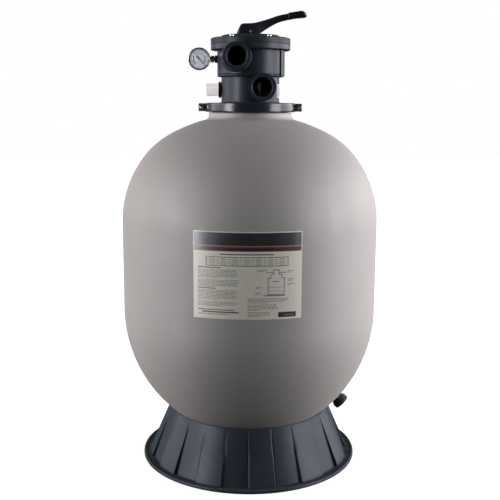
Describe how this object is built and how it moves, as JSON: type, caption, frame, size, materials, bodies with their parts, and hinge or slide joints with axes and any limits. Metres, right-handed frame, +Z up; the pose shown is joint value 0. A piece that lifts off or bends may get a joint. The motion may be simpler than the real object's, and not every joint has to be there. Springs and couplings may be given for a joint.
{
  "type": "sand filter tank",
  "caption": "Round-shouldered sand filter tank on a fluted skirt, with a clamped top selector valve, lever handle, side pressure gauge, sight glass and low drain.",
  "frame": {"origin": "centre of the skirt's foot on the floor", "axes": "+Z up along the tank's axis; the two front ports and the label face -Y; gauge towards -X, lever and drain towards +X"},
  "size_m": [0.622, 0.6223, 1.0961],
  "materials": {
    "tank_resin": "matte, finely pebbled",
    "skirt_plastic": "satin moulded",
    "label_film": "satin printed film",
    "seal_rubber": "smooth",
    "clamp_plastic": "semi-gloss moulded",
    "stainless": "plain",
    "stainless_dark": "plain",
    "valve_plastic": "satin moulded",
    "cover_plastic": "satin moulded",
    "plate_film": "satin film",
    "clear_plastic": "clear",
    "black_plastic": "moulded",
    "gauge_steel": "polished",
    "dial_face": "printed",
    "gauge_window": "clear",
    "brass": "machined",
    "bronze": "drawn tube",
    "needle_paint": "satin",
    "grey_pipe": "smooth pipe",
    "inner_plastic": "moulded",
    "pin_plastic": "moulded",
    "drain_cap_plastic": "moulded, fluted",
    "rotor_plastic": "moulded",
    "spring_steel": "wire",
    "handle_plastic": "semi-gloss moulded",
    "grip_plastic": "semi-gloss moulded"
  },
  "bodies": {
    "tank": {"tank_shell": "tank_resin", "skirt": "skirt_plastic", "tank_label": "label_film", "neck_oring": "seal_rubber", "clamp_front": "clamp_plastic", "clamp_rear": "clamp_plastic", "clamp_bolts": "stainless", "clamp_nuts": "stainless", "clamp_washers": "stainless", "valve_body": "valve_plastic", "valve_cover": "cover_plastic", "cover_screws": "stainless_dark", "cover_oring": "seal_rubber", "position_plate": "plate_film", "spider_gasket": "seal_rubber", "sight_glass": "clear_plastic", "sight_glass_nut": "black_plastic", "sight_glass_oring": "seal_rubber", "sight_port_plug": "clear_plastic", "gauge_case": "gauge_steel", "gauge_bezel": "gauge_steel", "gauge_dial": "dial_face", "gauge_lens": "gauge_window", "gauge_fitting": "brass", "bourdon_tube": "bronze", "gauge_movement": "brass", "standpipe": "grey_pipe", "standpipe_oring": "seal_rubber", "top_diffuser": "inner_plastic", "lateral_hub": "inner_plastic", "lateral_pins": "pin_plastic", "drain_spigot": "black_plastic", "drain_seal": "seal_rubber", "drain_nut": "black_plastic", "drain_strainer": "inner_plastic"},
    "selector": {"spring_washer_upper": "stainless"},
    "rotor": {"rotor": "rotor_plastic", "rotor_spring": "spring_steel", "spring_washer_lower": "stainless", "stem_orings": "seal_rubber", "handle_pin": "stainless"},
    "handle": {"valve_handle": "handle_plastic", "handle_grip": "grip_plastic"},
    "needle": {"gauge_needle": "needle_paint"},
    "drain_cap_seal": {"drain_cap_seal": "seal_rubber"},
    "drain_cap": {"drain_cap": "drain_cap_plastic"},
    "lateral_1": {"lateral_1": "inner_plastic"},
    "lateral_2": {"lateral_2": "inner_plastic"},
    "lateral_3": {"lateral_3": "inner_plastic"},
    "lateral_4": {"lateral_4": "inner_plastic"},
    "lateral_5": {"lateral_5": "inner_plastic"},
    "lateral_6": {"lateral_6": "inner_plastic"},
    "lateral_7": {"lateral_7": "inner_plastic"},
    "lateral_8": {"lateral_8": "inner_plastic"}
  },
  "joints": [
    {"name": "rotor_turn", "type": "hinge", "parent": "tank", "child": "selector", "pos_m": [0, 0, 1], "axis": [0, 0, 1], "continuous": true},
    {"name": "rotor_lift", "type": "slide", "parent": "selector", "child": "rotor", "axis": [0, 0, 1], "range_m": [0, 0.004], "deforming": ["rotor_spring"]},
    {"name": "handle_press", "type": "hinge", "parent": "rotor", "child": "handle", "pos_m": [0, 0, 1.047], "axis": [0, 1, 0], "range_deg": [0, 18], "stiffness_Nm_per_rad": 8, "springref_deg": -5.73},
    {"name": "gauge_needle_turn", "type": "hinge", "parent": "tank", "child": "needle", "pos_m": [-0.122, 0, 0.983], "axis": [0, 1, 0], "range_deg": [0, 270], "stiffness_Nm_per_rad": 0.0001, "springref_deg": -5.73},
    {"name": "drain_cap_travel", "type": "slide", "parent": "tank", "child": "drain_cap_seal", "axis": [0.7173, -0.1922, -0.6697], "range_m": [0, 0.0101]},
    {"name": "drain_cap_turn", "type": "hinge", "parent": "drain_cap_seal", "child": "drain_cap", "pos_m": [0.21856, -0.05856, 0.159], "axis": [0.7173, -0.1922, -0.6697], "range_deg": [0, 1440]},
    {"name": "lateral_1_fold", "type": "hinge", "parent": "tank", "child": "lateral_1", "pos_m": [0.04435, 0.01837, 0.15], "axis": [0.3827, -0.9239, 0], "range_deg": [0, 80]},
    {"name": "lateral_2_fold", "type": "hinge", "parent": "tank", "child": "lateral_2", "pos_m": [0.01837, 0.04435, 0.15], "axis": [0.9239, -0.3827, 0], "range_deg": [0, 80]},
    {"name": "lateral_3_fold", "type": "hinge", "parent": "tank", "child": "lateral_3", "pos_m": [-0.01837, 0.04435, 0.15], "axis": [0.9239, 0.3827, 0], "range_deg": [0, 80]},
    {"name": "lateral_4_fold", "type": "hinge", "parent": "tank", "child": "lateral_4", "pos_m": [-0.04435, 0.01837, 0.15], "axis": [0.3827, 0.9239, 0], "range_deg": [0, 80]},
    {"name": "lateral_5_fold", "type": "hinge", "parent": "tank", "child": "lateral_5", "pos_m": [-0.04435, -0.01837, 0.15], "axis": [-0.3827, 0.9239, 0], "range_deg": [0, 80]},
    {"name": "lateral_6_fold", "type": "hinge", "parent": "tank", "child": "lateral_6", "pos_m": [-0.01837, -0.04435, 0.15], "axis": [-0.9239, 0.3827, 0], "range_deg": [0, 80]},
    {"name": "lateral_7_fold", "type": "hinge", "parent": "tank", "child": "lateral_7", "pos_m": [0.01837, -0.04435, 0.15], "axis": [-0.9239, -0.3827, 0], "range_deg": [0, 80]},
    {"name": "lateral_8_fold", "type": "hinge", "parent": "tank", "child": "lateral_8", "pos_m": [0.04435, -0.01837, 0.15], "axis": [-0.3827, -0.9239, 0], "range_deg": [0, 80]}
  ],
  "couplings": [
    {"joint": "rotor_lift", "follows": "handle_press", "m_per_rad": 0.01245},
    {"joint": "drain_cap_travel", "follows": "drain_cap_turn", "m_per_rad": 0.00039789}
  ]
}
